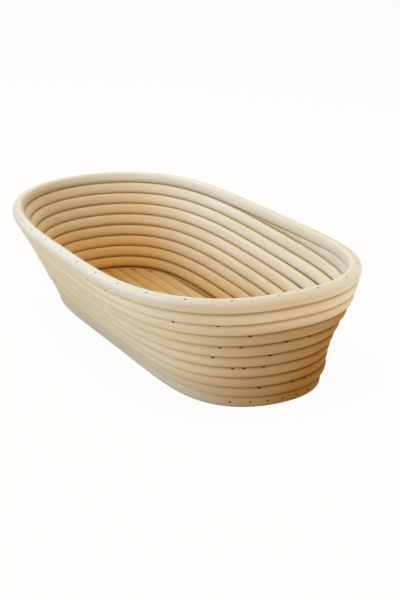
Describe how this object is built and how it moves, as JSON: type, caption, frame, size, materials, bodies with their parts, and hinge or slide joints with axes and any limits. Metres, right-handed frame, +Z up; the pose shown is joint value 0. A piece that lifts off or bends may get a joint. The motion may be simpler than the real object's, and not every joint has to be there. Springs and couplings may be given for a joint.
{
  "type": "proofing basket",
  "caption": "Oval bread proofing basket: a flared wall wound from one long rattan cane, a jointed rim ring and a floor of straight canes, held by small nails.",
  "frame": {"origin": "centre of the underside, on the surface that the basket stands on", "axes": "+X along the basket's length, +Y across it, +Z up out of its mouth"},
  "size_m": [0.2889, 0.152, 0.0717],
  "materials": {
    "cane": "peeled rattan core, matt, with fine lengthwise grain",
    "rim_cane": "peeled rattan core, matt, paler",
    "floor_cane": "peeled rattan core, matt, planed flat underneath",
    "nail": "dark, slightly rusty wire nail"
  },
  "bodies": {
    "root": {"wall_winding": "cane", "rim_ring": "rim_cane", "floor_cane_1": "floor_cane", "floor_cane_2": "floor_cane", "floor_cane_3": "floor_cane", "floor_cane_4": "floor_cane", "floor_cane_5": "floor_cane", "floor_cane_6": "floor_cane", "floor_cane_7": "floor_cane", "floor_cane_8": "floor_cane", "floor_cane_9": "floor_cane", "rim_nails": "nail", "wall_nails": "nail", "base_end_nails": "nail", "base_side_nails": "nail"}
  },
  "joints": []
}
